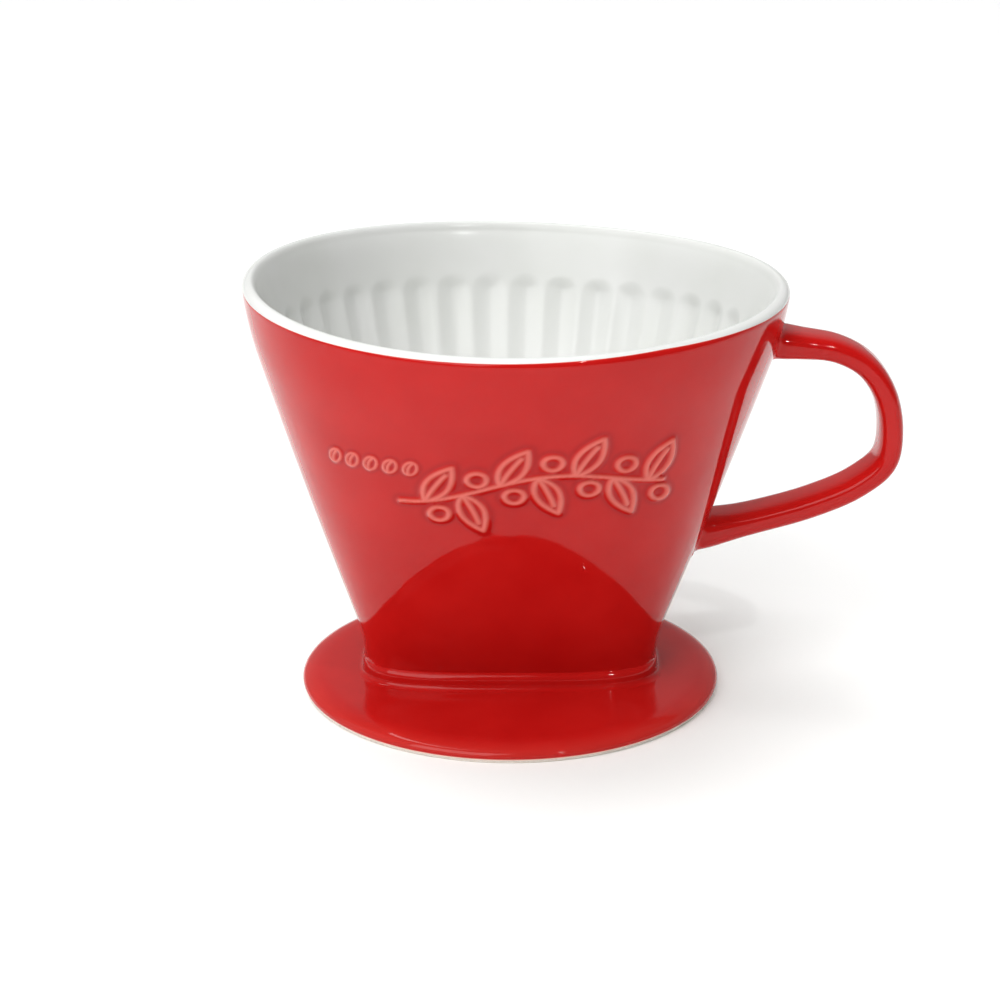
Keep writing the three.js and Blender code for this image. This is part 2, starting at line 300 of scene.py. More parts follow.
def plain_ring(half_width, half_depth, squareness, z):
    """One ring of the plinth or the outlet."""
    shares = np.arange(PLATE_COLUMNS) / PLATE_COLUMNS
    points = superellipse(half_width, half_depth, squareness, shares)[0]
    return np.column_stack([points, np.full(PLATE_COLUMNS, z)])


def circle(radius, z, columns):
    angle = np.arange(columns) * 2 * math.pi / columns
    return np.column_stack([radius * np.cos(angle), radius * np.sin(angle), np.full(columns, z)])


def quarter(steps, start=0.0):
    """Cosines and sines through a quarter turn from the start angle."""
    angle = start + np.linspace(0, math.pi / 2, steps + 1)
    return list(zip(np.cos(angle), np.sin(angle)))


def warped(points):
    """The cone's points, leaning and waving as it came out of the kiln."""
    rise = np.clip((points[..., 2] - CONE_BASE) / (LIP_CENTRE - CONE_BASE), 0, None)
    around = np.arctan2(points[..., 1], points[..., 0])
    wave = RIM_WAVE * np.cos(2 * (around + math.radians(RIM_WAVE_DEG)))
    wave += RIM_TILT * np.cos(around) + RIM_BOW * (np.sin(around) - 1)
    moved = points.copy()
    moved[..., 0] += LEAN * rise
    moved[..., 2] += wave * rise ** 2
    return moved


def place(points):
    """Millimetres from the plate's axis to metres in the frame."""
    return (points + np.array([AXIS_X, 0, 0])) * MM


# ---- meshes ----

def grid_mesh(rows, closed):
    """A bmesh through rows of points, closed round its columns, and its rows of vertices."""
    bm = bmesh.new()
    verts = [[bm.verts.new(point) for point in row] for row in rows]
    pairs = list(zip(verts, verts[1:])) + ([(verts[-1], verts[0])] if closed else [])
    for lower, upper in pairs:
        for i in range(len(lower)):
            j = (i + 1) % len(lower)
            bm.faces.new((lower[i], lower[j], upper[j], upper[i]))
    return bm, verts


def loop_edges(bm, loop):
    """The edges round a closed loop of vertices, made where there are none yet."""
    edges = []
    for i, vert in enumerate(loop):
        after = loop[(i + 1) % len(loop)]
        edges.append(bm.edges.get((vert, after)) or bm.edges.new((vert, after)))
    return edges


def pierced_floor(bm, upper_loop, lower_loop, profile):
    """Closes both loops with flat floors, and joins the floors through drip holes of (radius, z) profile."""
    upper_edges, lower_edges = loop_edges(bm, upper_loop), loop_edges(bm, lower_loop)
    for hole in range(DRIP_HOLE_COUNT):
        middle = np.array([(hole - (DRIP_HOLE_COUNT - 1) / 2) * DRIP_HOLE_PITCH, 0, 0])
        circles = [[bm.verts.new(p) for p in place(circle(r, z, HOLE_COLUMNS) + middle)] for r, z in profile]
        for upper, lower in zip(circles, circles[1:]):
            for i in range(len(upper)):
                j = (i + 1) % len(upper)
                bm.faces.new((upper[i], upper[j], lower[j], lower[i]))
        upper_edges += loop_edges(bm, circles[0])
        lower_edges += loop_edges(bm, circles[-1])
    bmesh.ops.triangle_fill(bm, use_beauty=True, use_dissolve=False, edges=upper_edges)
    bmesh.ops.triangle_fill(bm, use_beauty=True, use_dissolve=False, edges=lower_edges)


def finish_piece(name, bm, material, replaced, thin=None):
    """Makes the piece: smooth, riding on the one body, standing for its CAD node. thin has one value for each
    of its first vertices: 0 full glaze, 1 thin glaze, 2 bare porcelain, and below 0 pooled glaze. On the
    ornament, thin glaze is also a painted highlight and pooled glaze is also painted shade."""
    bmesh.ops.recalc_face_normals(bm, faces=bm.faces)
    mesh = bpy.data.meshes.new(name)
    bm.to_mesh(mesh)
    bm.free()
    if thin is not None:
        values = np.zeros(len(mesh.vertices), np.float32)
        values[:thin.size] = thin.ravel()
        mesh.attributes.new("thin", "FLOAT", "POINT").data.foreach_set("value", values)
    mesh.shade_smooth()
    mesh.set_sharp_from_angle(angle=math.radians(SHARP_ANGLE_DEG))
    mesh.materials.append(material)
    piece = bpy.data.objects.new(name, mesh)
    bpy.context.scene.collection.objects.link(piece)
    piece.visible_diffuse = name not in QUIET_PIECES
    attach(piece, "root")
    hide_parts(*replaced)


# ---- ornament: a sprig of coffee leaves and cherries and a row of beans, in raised line ----

def bezier(start, control, end):
    t = np.linspace(0, 1, BEZIER_DOTS)[:, None]
    start, control, end = np.array(start), np.array(control), np.array(end)
    return (1 - t) ** 2 * start + 2 * t * (1 - t) * control + t ** 2 * end


def oval(middle, half_width, half_height, tilt_deg=0.0):
    angle = np.linspace(0, 2 * math.pi, OVAL_DOTS)
    c, s = math.cos(math.radians(tilt_deg)), math.sin(math.radians(tilt_deg))
    x, y = half_width * np.cos(angle), half_height * np.sin(angle)
    return np.array(middle) + np.column_stack([c * x - s * y, s * x + c * y])


def stem_point(s):
    """The sprig's stem: a slow wave across the wall."""
    wave = STEM_WAVE * math.sin((s - STEM_WAVE_START) * math.pi / STEM_HALF_WAVE)
    return np.array([s, wave + STEM_CLIMB * s + STEM_LIFT])


def leaf(root, heading_deg):
    """Both edges and the midrib of a pointed leaf."""
    heading = math.radians(heading_deg)
    ahead = np.array([math.cos(heading), math.sin(heading)])
    aside = np.array([-ahead[1], ahead[0]])
    tip = root + LEAF_LENGTH * ahead
    belly = root + LEAF_BELLY * LEAF_LENGTH * ahead
    edges = [bezier(root, belly + side * LEAF_BREADTH * aside, tip) for side in (-1, 1)]
    bend = belly + MIDRIB_BEND * LEAF_BREADTH * aside
    midrib = bezier(root, bend, root + MIDRIB_LENGTH * LEAF_LENGTH * ahead)
    return edges + [midrib]


def bean(middle):
    """A bean's outline and the crease along it."""
    middle = np.array(middle)
    crease = bezier(middle + CREASE_END, middle + CREASE_BEND, middle - CREASE_END)
    return [oval(middle, BEAN_HALF_WIDTH, BEAN_HALF_HEIGHT, BEAN_TILT_DEG), crease]


def ornament_lines():
    """Lines of points across and up the wall, each with its half width."""
    bold = [np.array([stem_point(s) for s in np.linspace(*STEM_ENDS, STEM_DOTS)])]
    ahead, aside = CHERRY_OFFSET
    for i, s in enumerate(np.linspace(*LEAF_ROOT_ENDS, LEAF_COUNT)):
        leaf_below = i % 2 == 1
        bold += leaf(stem_point(s), LEAF_DOWN_DEG if leaf_below else LEAF_UP_DEG)
        cherry = stem_point(s + CHERRY_ALONG_STEM) + (ahead, aside if leaf_below else -aside)
        bold.append(oval(cherry, CHERRY_RADIUS, CHERRY_RADIUS))
    fine = [line for k in range(BEAN_COUNT) for line in bean((FIRST_BEAN + BEAN_PITCH * k, BEAN_LIFT))]
    return [(line, BOLD_LINE) for line in bold] + [(line, FINE_LINE) for line in fine]


def relief(across, up):
    """Height above the wall, and how thin the glaze lies, at points on it. The lines are lighter, as thin
    glaze and a painted highlight, and darker beside them, as pooled glaze and painted shade.
    """
    near = (np.abs(across) < ORNAMENT_HALF_LENGTH) & (np.abs(up) < ORNAMENT_HALF_BREADTH)
    points = np.column_stack([across[near], up[near]])
    height, thinness_and_shading = np.zeros(across.shape), np.zeros(across.shape)
    if len(points) == 0:
        return height, thinness_and_shading
    lines = ornament_lines()
    dots = np.concatenate([line for line, _ in lines])
    reach = np.concatenate([np.full(len(line), half_width) for line, half_width in lines])
    gap = np.hypot(points[:, None, 0] - dots[None, :, 0], points[:, None, 1] - dots[None, :, 1])
    distance = (gap / reach).min(1)
    boldness = reach[(gap / reach).argmin(1)] / BOLD_LINE
    ridge = np.exp(-distance ** 2)
    height[near] = ORNAMENT_HEIGHT * boldness * ridge
    # The lines are lighter, as thin glaze and a painted highlight, and ringed darker, as pooled glaze and
    # painted shade.
    thinness_and_shading[near] = ridge - POOLING_AND_SHADE * np.exp(-(distance - POOLING_AND_SHADE_DISTANCE) ** 2)
    return height, thinness_and_shading


# ---- the cone: red coat, porcelain body and white lining ----

def front_dense_shares():
    """Shares of the outline, close together on the front, where the ornament is."""
    start, end = FRONT_SHARE - ORNAMENT_SHARE, FRONT_SHARE + ORNAMENT_SHARE
    dense = np.linspace(start, end, ORNAMENT_COLUMNS, endpoint=False)
    rest = np.linspace(end, start + 1, PLAIN_COLUMNS, endpoint=False)
    return np.sort(np.concatenate([dense, rest]) % 1.0)


def coat_rows(shares):
    """Rows up the coat's outside to the colour line, and how thin the glaze is on them."""
    flare = CONE_BASE + FLARE_ROWS_RISE * np.linspace(0, 1, FLARE_ROWS) ** FLARE_ROWS_CROWDING
    bands = [np.linspace(*band) for band in COAT_BANDS]
    rows, thin = [], []
    for z in np.concatenate([[CONE_BASE - COAT_SINK], flare, *bands]):
        points, normals, length = superellipse(*wall_outline(z), shares)
        across = ((shares - FRONT_SHARE + 0.5) % 1.0 - 0.5) * length
        up = np.full(len(shares), (z - ORNAMENT_Z) / math.cos(math.radians(WALL_SLOPE_DEG)))
        height, thinness_and_shading = relief(across, up)
        rows.append(np.column_stack([points + normals * height[:, None], np.full(len(shares), z)]))
        thin.append(thinness_and_shading)
    for reach in np.linspace(0, 1, COAT_LIP_ROWS):
        rows.append(lip_ring(reach * colour_line(shares), LIP_RADIUS, shares))
        thin.append(np.full(len(shares), LINE_THINNING * reach ** LINE_SHARPNESS))
    return rows, thin


def red_coat(material):
    shares = front_dense_shares()
    outer, thin = coat_rows(shares)
    heights = np.linspace(LIP_CENTRE, CONE_BASE - COAT_SINK, COAT_BACK_ROWS)
    inner = [lip_ring(colour_line(shares), LIP_RADIUS - GLAZE, shares)]
    inner += [wall_ring(z, GLAZE, shares) for z in heights]
    bm = grid_mesh(place(warped(np.array(outer + inner))), closed=True)[0]
    finish_piece("red_coat", bm, material, ["red_glaze"], np.array(thin))


def flute_depth(z, shares, pitch):
    """How deep the flutes are cut at height z. They are grooves with rounded ends, pitch apart."""
    turn = shares * FLUTE_COUNT - FLUTE_SHIFT
    across = np.abs(turn - np.round(turn)) * pitch
    radius = FLUTE_HALF_WIDTH * pitch
    slope = math.cos(math.radians(WALL_SLOPE_DEG))
    from_end = min((FLUTE_TOP - z) / slope, (z - FLUTE_BOTTOM) / slope)
    if from_end <= 0:
        return np.zeros(len(shares))
    beyond = max(0.0, radius - from_end)
    distance = np.hypot(across, beyond) / radius
    deepening = math.sin(min(1.0, from_end / FLUTE_RUN_OUT) * math.pi / 2)
    return FLUTE_DEPTH * deepening * np.clip(1 - distance ** FLUTE_ROUNDING, 0, None)


def lining_rows(coat, shares, fineness):
    """Rows from the colour line over the lip and down the fluted inside to the floor, on the porcelain
    (coat 0) or on its glaze. The wall thickens from the lip to the tops of the flutes."""
    rows = []
    radius = LIP_RADIUS - GLAZE + coat
    for reach in np.linspace(0, 1, LINING_LIP_ROWS * fineness, endpoint=False):
        rows.append(lip_ring(lerp(colour_line(shares), 90, reach), radius, shares))
    top, inset = LIP_CENTRE + radius, WALL + coat
    for c, s in quarter(SHOULDER_ROWS * fineness):
        rows.append(wall_ring(lerp(FLUTE_TOP + FLUTE_MARGIN, top, c), lerp(LIP_RADIUS, inset, s), shares))
    bands = [np.linspace(start, end, count * fineness) for start, end, count in FLUTE_BANDS]
    for z in np.concatenate([*bands, np.linspace(*FLUTE_END_BAND)]):
        length = superellipse(*wall_outline(z), shares[:1])[2]
        depth = flute_depth(z, shares, length / FLUTE_COUNT)
        rows.append(wall_ring(z, inset - depth, shares))
    floor = FLOOR_TOP - GLAZE + coat
    for c, s in quarter(FILLET_ROWS):
        rows.append(wall_ring(floor + FLOOR_FILLET * (1 - s), inset + FLOOR_FILLET * (1 - c), shares))
    return rows


def lining_shares():
    """Even shares of the outline, FLUTE_COLUMNS to each flute."""
    columns = FLUTE_COLUMNS * FLUTE_COUNT
    return np.arange(columns) / columns


def white_lining(material):
    shares = lining_shares()
    rows = lining_rows(0, shares, 1)[::-1] + lining_rows(GLAZE, shares, 2)
    bm, verts = grid_mesh(place(warped(np.array(rows))), closed=False)
    corner = DRIP_HOLE_EDGE_ROUND * DRIP_HOLE_EDGE
    profile = [
        (DRIP_HOLE_RADIUS + DRIP_HOLE_EDGE, FLOOR_TOP),
        (DRIP_HOLE_RADIUS + corner, FLOOR_TOP - corner),
        (DRIP_HOLE_RADIUS, FLOOR_TOP - GLAZE),
    ]
    pierced_floor(bm, verts[-1], verts[0], profile)
    finish_piece("white_lining", bm, material, ["white_glaze"])


def porcelain_body(material):
    shares = lining_shares()
    inside = lining_rows(0, shares, 1)
    outside = [wall_ring(z, GLAZE, shares) for z in np.linspace(CONE_BASE, LIP_CENTRE, BODY_ROWS)]
    bm, verts = grid_mesh(place(warped(np.array(outside + inside))), closed=False)
    profile = [
        (DRIP_HOLE_RADIUS, FLOOR_TOP - GLAZE),
        (DRIP_HOLE_RADIUS, CONE_BASE + DRIP_HOLE_EDGE),
        (DRIP_HOLE_RADIUS + DRIP_HOLE_EDGE, CONE_BASE),
    ]
    pierced_floor(bm, verts[-1], verts[0], profile)
    finish_piece("porcelain_body", bm, material, ["filter_cone"])


# ---- plinth, plate and rings ----

def outlet(z):
    """One ring of the slot through the plinth and the plate."""
    return plain_ring(OUTLET_HALF_WIDTH, OUTLET_HALF_DEPTH, OUTLET_SQUARENESS, z)


def plinth(material):
    """The step between cone and plate: a fillet at the plate, then a rounded top edge."""
    rows = []
    for c, s in quarter(FILLET_ROWS):
        out = PLINTH_FILLET * (1 - s)
        z = PLATE_TOP + PLINTH_FILLET * (1 - c)
        rows.append(plain_ring(PLINTH_HALF_WIDTH + out, PLINTH_HALF_DEPTH + out, PLINTH_SQUARENESS, z))
    for c, s in quarter(PLINTH_ROUNDING_ROWS):
        half_width = lerp(PLINTH_TOP_HALF_WIDTH, PLINTH_HALF_WIDTH, c)
        half_depth = lerp(PLINTH_TOP_HALF_DEPTH, PLINTH_HALF_DEPTH, c)
        z = CONE_BASE - PLINTH_ROUNDING * (1 - s)
        rows.append(plain_ring(half_width, half_depth, PLINTH_SQUARENESS, z))
    rows += [outlet(CONE_BASE), outlet(PLATE_TOP)]
    bm = grid_mesh(place(np.array(rows)), closed=True)[0]
    finish_piece("plinth_step", bm, material, ["plinth"])


def plate(material):
    """The round plate: rounded under its edge, rolled above it, flat to the outlet and back underneath."""
    rows, thin = [], []
    for c, s in quarter(EDGE_UNDER_ROWS, -math.pi / 2):
        radius = PLATE_RADIUS - EDGE_UNDER_ROUND * (1 - c)
        rows.append(circle(radius, EDGE_HEIGHT + EDGE_UNDER_ROUND * s, PLATE_COLUMNS))
        thin.append(np.interp(s, BARE_EDGE_SINES, (BARE_EDGE, 0.0)))
    for c, s in quarter(EDGE_ROLL_ROWS)[1:]:
        radius = PLATE_RADIUS - EDGE_ROLL_WIDTH * (1 - c)
        rows.append(circle(radius, lerp(EDGE_HEIGHT, PLATE_TOP, s), PLATE_COLUMNS))
        thin.append(EDGE_THINNING * c)
    for step in PLATE_FLAT_STEPS:
        radius = lerp(PLATE_RADIUS - EDGE_ROLL_WIDTH, PLATE_FLAT_RADIUS, step)
        rows.append(circle(radius, PLATE_TOP, PLATE_COLUMNS))
    rows += [outlet(PLATE_TOP), outlet(UNDERSIDE)]
    rows += [circle(radius, UNDERSIDE, PLATE_COLUMNS) for radius in UNDERSIDE_RADII]
    bm = grid_mesh(place(np.array(rows)), closed=True)[0]
    thin = np.repeat(np.array(thin)[:, None], PLATE_COLUMNS, 1)
    finish_piece("cup_plate", bm, material, ["base_plate"], thin)


def ring_piece(name, node, flare, width, material):
    """A ring under the plate, where its CAD node is, round along its lower corners. flare is how far its
    outer side stands out from the node's."""
    low, high = box_mm(node)
    outer = (high[1] - low[1]) / 2 + flare
    inner = outer - width
    rows = [circle(inner, UNDERSIDE, RING_COLUMNS)]
    for c, s in quarter(RING_ROWS):
        rows.append(circle(inner + RING_ROUND * (1 - c), low[2] + RING_ROUND * (1 - s), RING_COLUMNS))
    for c, s in quarter(RING_ROWS)[::-1]:
        rows.append(circle(outer - RING_ROUND * (1 - c), low[2] + RING_ROUND * (1 - s), RING_COLUMNS))
    rows.append(circle(outer, UNDERSIDE, RING_COLUMNS))
    bm = grid_mesh(place(np.array(rows)), closed=True)[0]
    finish_piece(name, bm, material, [node])


# ---- handle ----

def smooth_path(points, count):
    """A centripetal Catmull-Rom curve through the points, as count even points and their unit tangents."""
    points = np.array(points, float)
    padded = np.vstack([2 * points[0] - points[1], points, 2 * points[-1] - points[-2]])
    dense = []
    for i in range(1, len(padded) - 2):
        p0, p1, p2, p3 = padded[i - 1:i + 3]
        d0, d1, d2 = (math.sqrt(np.linalg.norm(b - a)) for a, b in ((p0, p1), (p1, p2), (p2, p3)))
        t1 = d1 * ((p1 - p0) / d0 - (p2 - p0) / (d0 + d1) + (p2 - p1) / d1)
        t2 = d1 * ((p2 - p1) / d1 - (p3 - p1) / (d1 + d2) + (p3 - p2) / d2)
        square = 3 * (p2 - p1) - 2 * t1 - t2
        cube = 2 * (p1 - p2) + t1 + t2
        for t in np.linspace(0, 1, PATH_DOTS, endpoint=False):
            dense.append(p1 + t1 * t + square * t * t + cube * t ** 3)
    dense = np.array(dense + [points[-1]])
    along = np.concatenate([[0], np.cumsum(np.linalg.norm(np.diff(dense, axis=0), axis=1))])
    at = np.linspace(0, along[-1], count)
    path = np.column_stack([np.interp(at, along, dense[:, k]) for k in range(2)])
    tangent = np.gradient(path, axis=0)
    return path, tangent / np.linalg.norm(tangent, axis=1)[:, None]


def outside_wall(points):
    """Distance of points from the leaning cone's outside, negative inside it."""
    z = points[..., 2]
    rise = np.clip((z - CONE_BASE) / (LIP_CENTRE - CONE_BASE), 0, None)
    x, y = points[..., 0] - LEAN * rise, points[..., 1]
    half_width, half_depth, squareness = wall_outline(z)
    reach = np.abs(x / half_width) ** squareness + np.abs(y / half_depth) ** squareness
    size = reach ** (1 / squareness)
    return np.hypot(x, y) * (1 - 1 / size) * math.cos(math.radians(SIDE_SLOPE_DEG))


def ended_in_wall(sections):
    """The sections with each of their lines cut where it is rooted in the cone's wall, at both ends."""
    free = outside_wall(sections) > -HANDLE_ROOT_DEPTH
    first = free.argmax(axis=0)
    last = len(sections) - 1 - free[::-1].argmax(axis=0)
    columns = np.arange(sections.shape[1])
    rows = []
    for share in np.linspace(0, 1, len(sections)):
        at = lerp(first, last, share)
        before = np.minimum(at.astype(int), len(sections) - 2)
        rest = (at - before)[:, None]
        rows.append(lerp(sections[before, columns], sections[before + 1, columns], rest))
    return np.array(rows)


def handle(material):
    """The loop handle: a rounded band swept along its path, flared and filleted where it meets the cone."""
    path, tangent = smooth_path(HANDLE_PATH, HANDLE_ROWS)
    angle = np.arange(HANDLE_COLUMNS) * 2 * math.pi / HANDLE_COLUMNS
    c, s = np.cos(angle), np.sin(angle)
    unit = (np.abs(c) ** HANDLE_SQUARENESS + np.abs(s) ** HANDLE_SQUARENESS) ** (-1 / HANDLE_SQUARENESS)
    sections, outward = [], []
    for i in range(HANDLE_ROWS):
        share = i / (HANDLE_ROWS - 1)
        from_root = max(0.0, min(share, 1 - share) / HANDLE_ROOT_LENGTH - 1)
        flare = math.exp(-from_root ** 2)
        thickness = HANDLE_HALF_THICKNESS * lerp(1, HANDLE_THICKENING, share)
        thickness *= 1 + HANDLE_ROOT_FLARE * flare
        width = HANDLE_HALF_WIDTH * (1 + HANDLE_ROOT_WIDENING * flare)
        across = np.array([tangent[i, 1], 0, -tangent[i, 0]])
        offset = (unit * c * thickness)[:, None] * across + (unit * s * width)[:, None] * np.array([0, 1, 0])
        sections.append(np.array([path[i, 0], 0, path[i, 1]]) + offset)
        outward.append(offset / np.linalg.norm(offset, axis=1)[:, None])
    sections = np.array(sections)
    gap = np.clip(outside_wall(sections) / HANDLE_FILLET, 0, 1)
    swell = HANDLE_FILLET * (1 - np.sqrt(1 - (1 - gap) ** 2))
    rows = ended_in_wall(sections + swell[..., None] * np.array(outward))
    bm, verts = grid_mesh(place(rows), closed=False)
    bm.faces.new(verts[0])
    bm.faces.new(verts[-1])
    finish_piece("loop_handle", bm, material, ["handle"])


# ---- materials ----

class Nodes:
    """Short ways to add and link a tree's shader nodes."""

    def __init__(self, tree):
        self.tree = tree

    @classmethod
    def for_material(cls, name):
        """The nodes of a new material, with its Principled shader as .shader."""
        material = bpy.data.materials.new(name)
        material.use_nodes = True
        nodes = cls(material.node_tree)
        nodes.material = material
        nodes.shader = material.node_tree.nodes["Principled BSDF"]
        return nodes

    def add(self, kind, **settings):
        node = self.tree.nodes.new(kind)
        for key, value in settings.items():
            setattr(node, key, value)
        return node

    def link(self, output, target):
        self.tree.links.new(output, target)

    def coordinates(self):
        return self.add("ShaderNodeTexCoord").outputs["Object"]

    def noise(self, scale, detail, roughness=0.5):
        node = self.add("ShaderNodeTexNoise")
        node.inputs["Scale"].default_value = scale
        node.inputs["Detail"].default_value = detail
        node.inputs["Roughness"].default_value = roughness
        self.link(self.coordinates(), node.inputs["Vector"])
        return node.outputs["Fac"]

    def ramp(self, factor, stops):
        node = self.add("ShaderNodeValToRGB")
        for element, (position, colour) in zip(node.color_ramp.elements, stops):
            element.position = position
            element.color = (*colour, 1)
        self.link(factor, node.inputs["Fac"])
        return node.outputs["Color"]

    def mix(self, factor, first, colour):
        node = self.add("ShaderNodeMix", data_type="RGBA")
        self.link(factor, node.inputs["Factor"])
        self.link(first, node.inputs["A"])
        node.inputs["B"].default_value = (*colour, 1)
        return node.outputs["Result"]

    def span(self, value, low, high, to_low=0.0, to_high=1.0, smooth=False):
        """The value's range from low to high mapped to another range."""
        node = self.add("ShaderNodeMapRange", interpolation_type="SMOOTHSTEP" if smooth else "LINEAR")
        for key, number in (("From Min", low), ("From Max", high), ("To Min", to_low), ("To Max", to_high)):
            node.inputs[key].default_value = number
        self.link(value, node.inputs["Value"])
        return node.outputs["Result"]

    def bump(self, height, distance, strength, normal=None):
        node = self.add("ShaderNodeBump")
        node.inputs["Strength"].default_value = strength
        node.inputs["Distance"].default_value = distance
        self.link(height, node.inputs["Height"])
        if normal is not None:
            self.link(normal, node.inputs["Normal"])
        return node.outputs["Normal"]


# Each glaze drifts between two colours. Where it is thin, bare or pooled, the red turns to another. On the
# ornament
# # the lighter lines are also a painted highlight, and the darker pooled rims beside them are also painted
# shade.
RED_GLAZE = ((0.48, 0.0068, 0.006), (0.53, 0.010, 0.0085))
THIN_RED_AND_SHEEN = (0.78, 0.19, 0.15)
BARE_RED_EDGE = (0.95, 0.77, 0.67)
POOLED_RED_AND_SHADE = (0.34, 0.004, 0.005)
WHITE_GLAZE = ((0.70, 0.71, 0.685), (0.735, 0.74, 0.725))
BARE_PORCELAIN = ((0.80, 0.72, 0.64), (0.90, 0.84, 0.77))


def red_glaze_material():
    nodes = Nodes.for_material("red_glaze")
    colour = nodes.ramp(nodes.noise(scale=55, detail=3), zip((0.3, 0.7), RED_GLAZE))
    # thin lightens thin glaze, whitens bare porcelain and darkens pooled glaze; on the ornament the lighter
    # lines are also a painted highlight and the darker rims beside them are also painted shade.
    thin = nodes.add("ShaderNodeAttribute", attribute_name="thin").outputs["Fac"]
    colour = nodes.mix(nodes.span(thin, 0.05, 1.0, to_high=0.8), colour, THIN_RED_AND_SHEEN)
    colour = nodes.mix(nodes.span(thin, 1.0, 2.0), colour, BARE_RED_EDGE)
    colour = nodes.mix(nodes.span(thin, 0.0, -0.35, to_high=0.5), colour, POOLED_RED_AND_SHADE)
    ripple = nodes.bump(nodes.noise(scale=70, detail=2), distance=0.00012, strength=0.6)
    normal = nodes.bump(nodes.noise(scale=900, detail=2), distance=0.000004, strength=0.5, normal=ripple)
    nodes.link(colour, nodes.shader.inputs["Base Color"])
    nodes.link(normal, nodes.shader.inputs["Normal"])
    nodes.shader.inputs["Roughness"].default_value = 0.05
    nodes.shader.inputs["IOR"].default_value = 1.45
    nodes.shader.inputs["Specular IOR Level"].default_value = 0.3
    return nodes.material


def white_glaze_material():
    nodes = Nodes.for_material("white_glaze")
    colour = nodes.ramp(nodes.noise(scale=40, detail=3), zip((0.3, 0.7), WHITE_GLAZE))
    ripple = nodes.bump(nodes.noise(scale=60, detail=2), distance=0.00015, strength=0.6)
    normal = nodes.bump(nodes.noise(scale=800, detail=2), distance=0.000005, strength=0.5, normal=ripple)
    nodes.link(colour, nodes.shader.inputs["Base Color"])
    nodes.link(normal, nodes.shader.inputs["Normal"])
    nodes.shader.inputs["Roughness"].default_value = 0.2
    nodes.shader.inputs["IOR"].default_value = 1.5
    nodes.shader.inputs["Specular IOR Level"].default_value = 0.22
    return nodes.material


def bare_porcelain_material():
    nodes = Nodes.for_material("bare_porcelain")
    grain = nodes.noise(scale=1500, detail=4, roughness=0.7)
    colour = nodes.ramp(grain, zip((0.3, 0.65), BARE_PORCELAIN))
    nodes.link(colour, nodes.shader.inputs["Base Color"])
    nodes.link(nodes.span(grain, 0.2, 0.8, 0.55, 0.75), nodes.shader.inputs["Roughness"])
    nodes.link(nodes.bump(grain, distance=0.00005, strength=0.6), nodes.shader.inputs["Normal"])
    return nodes.material


# ---- studio: floor, light and camera ----

# LOOK_AT and CAMERA_DISTANCE are in millimetres, as the object's sizes are. The clip distances, the floor and
# the softbox are in metres.
LOOK_AT = (0.0, 0.0, 50.0)
CAMERA_DISTANCE = 630.0
CAMERA_ELEVATION_DEG = 19.17
CAMERA_SENSOR = 36.0
CAMERA_LENS = 88.3
CAMERA_SHIFT = (-0.0102, -0.0032)
CAMERA_CLIP = (0.01, 50.0)
FLOOR_SIZE = 12.0
FLOOR_COLOUR = (0.94, 0.94, 0.935)
ROOM_LEVEL = 0.05
BACKDROP_LEVEL = 0.38
# The backdrop is the room's far side. It fades in over these Y values of a direction, and fades in downwards
# over these Z values.
BACKDROP_SIDES = (-0.15, 0.3)
BACKDROP_TOP = (0.85, 0.55)
# Round lights far away: azimuth, elevation and the angle they fill, in degrees, and strength. Azimuth runs
# from the camera's side towards +X.
ROUND_LIGHTS = {
    "top_light": (205.0, 74.0, 40.0, 1.75),
    "front_light": (-5.0, 62.0, 36.0, 0.75),
    "side_light": (-80.0, 30.0, 60.0, 0.3),
    "lamp": (33.0, 48.0, 2.2, 0.35),
}
SOFTBOX_DIRECTION = (-34.0, 41.0)
SOFTBOX_DISTANCE = 1.5
SOFTBOX_SIZE = (1.15, 1.15)
SOFTBOX_POWER = 12.8
# The unseen light shows in no reflection. The quiet pieces throw no coloured light on the floor, because the
# photo's overexposed floor shows none.
UNSEEN_LIGHT = "front_light"
QUIET_PIECES = ("red_coat", "loop_handle")


def floor():
    mesh = bpy.data.meshes.new("studio_floor")
    half = FLOOR_SIZE / 2
    corners = [(-half, -half, 0), (half, -half, 0), (half, half, 0), (-half, half, 0)]
    mesh.from_pydata(corners, [], [(0, 1, 2, 3)])
    nodes = Nodes.for_material("studio_floor")
    nodes.shader.inputs["Base Color"].default_value = (*FLOOR_COLOUR, 1)
    nodes.shader.inputs["Roughness"].default_value = 0.9
    nodes.shader.inputs["Specular IOR Level"].default_value = 0.0
    mesh.materials.append(nodes.material)
    stage = bpy.data.objects.new("studio_floor", mesh)
    bpy.context.scene.collection.objects.link(stage)


def direction(azimuth_deg, elevation_deg):
    """A unit vector: azimuth 0 is the camera's side, and grows towards +X."""
    azimuth, elevation = math.radians(azimuth_deg), math.radians(elevation_deg)
    level = math.cos(elevation)
    return np.array([math.sin(azimuth) * level, -math.cos(azimuth) * level, math.sin(elevation)])


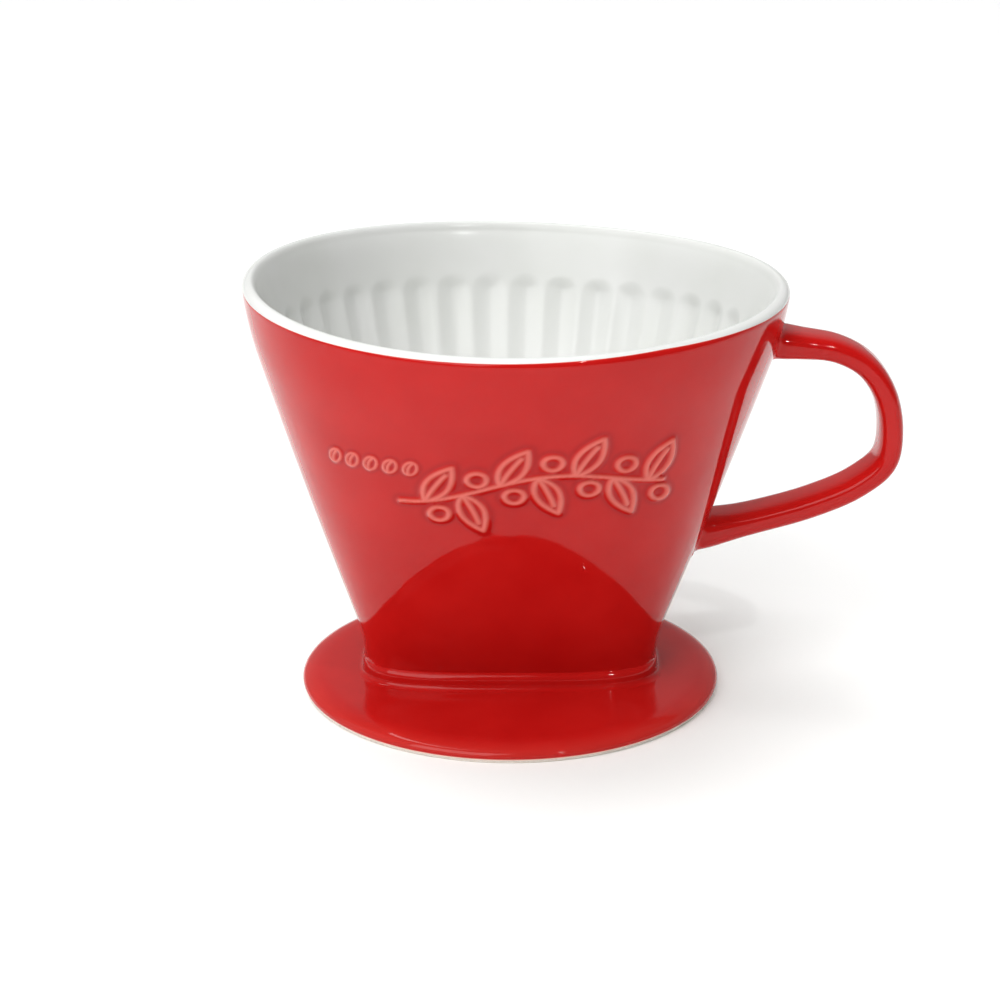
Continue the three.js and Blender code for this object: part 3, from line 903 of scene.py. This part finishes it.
def studio_light():
    """A dim room with a white backdrop behind the object, soft round lights and one softbox."""
    world = bpy.data.worlds.new("studio")
    world.use_nodes = True
    bpy.context.scene.world = world
    nodes = Nodes(world.node_tree)
    ray = nodes.add("ShaderNodeSeparateXYZ")
    nodes.link(nodes.add("ShaderNodeTexCoord").outputs["Generated"], ray.inputs[0])
    behind = nodes.span(ray.outputs["Y"], *BACKDROP_SIDES, smooth=True)
    low = nodes.span(ray.outputs["Z"], *BACKDROP_TOP, smooth=True)
    backdrop = nodes.add("ShaderNodeMath", operation="MULTIPLY")
    nodes.link(behind, backdrop.inputs[0])
    nodes.link(low, backdrop.inputs[1])
    level = nodes.span(backdrop.outputs[0], 0.0, 1.0, ROOM_LEVEL, BACKDROP_LEVEL)
    background = world.node_tree.nodes["Background"]
    nodes.link(level, background.inputs["Strength"])
    background.inputs["Color"].default_value = (1, 1, 1, 1)
    for name, (azimuth, elevation, angle, strength) in ROUND_LIGHTS.items():
        data = bpy.data.lights.new(name, "SUN")
        data.angle = math.radians(angle)
        data.energy = strength
        add_light(data, direction(azimuth, elevation))
    data = bpy.data.lights.new("softbox", "AREA")
    data.shape = "RECTANGLE"
    data.size, data.size_y = SOFTBOX_SIZE
    data.energy = SOFTBOX_POWER
    add_light(data, direction(*SOFTBOX_DIRECTION) * SOFTBOX_DISTANCE)


def add_light(data, position):
    """A light at a position from the object's middle, turned towards it."""
    light = bpy.data.objects.new(data.name, data)
    bpy.context.scene.collection.objects.link(light)
    light.location = Vector(position) + Vector(place(np.array(LOOK_AT)))
    light.rotation_euler = Vector(position).to_track_quat("Z", "Y").to_euler()
    light.visible_glossy = data.name != UNSEEN_LIGHT


def camera():
    data = bpy.data.cameras.new("camera")
    data.sensor_width = CAMERA_SENSOR
    data.lens = CAMERA_LENS
    data.shift_x, data.shift_y = CAMERA_SHIFT
    data.clip_start, data.clip_end = CAMERA_CLIP
    seen_from = bpy.data.objects.new("camera", data)
    bpy.context.scene.collection.objects.link(seen_from)
    target = place(np.array(LOOK_AT))
    back = direction(0.0, CAMERA_ELEVATION_DEG)
    seen_from.location = target + back * CAMERA_DISTANCE * MM
    seen_from.rotation_euler = (math.radians(90 - CAMERA_ELEVATION_DEG), 0, 0)
    bpy.context.scene.camera = seen_from


# ---- the object ----

camera()
studio_light()
floor()
bpy.context.scene.view_settings.view_transform = "Standard"

red = red_glaze_material()
white = white_glaze_material()
bare = bare_porcelain_material()

red_coat(red)
white_lining(white)
porcelain_body(bare)
plinth(red)
plate(red)
ring_piece("foot_rim", "foot_ring", FOOT_RING_FLARE, FOOT_RING_WIDTH, bare)
ring_piece("centring_rim", "centring_ring", 0.0, CENTRING_RING_WIDTH, red)
handle(red)
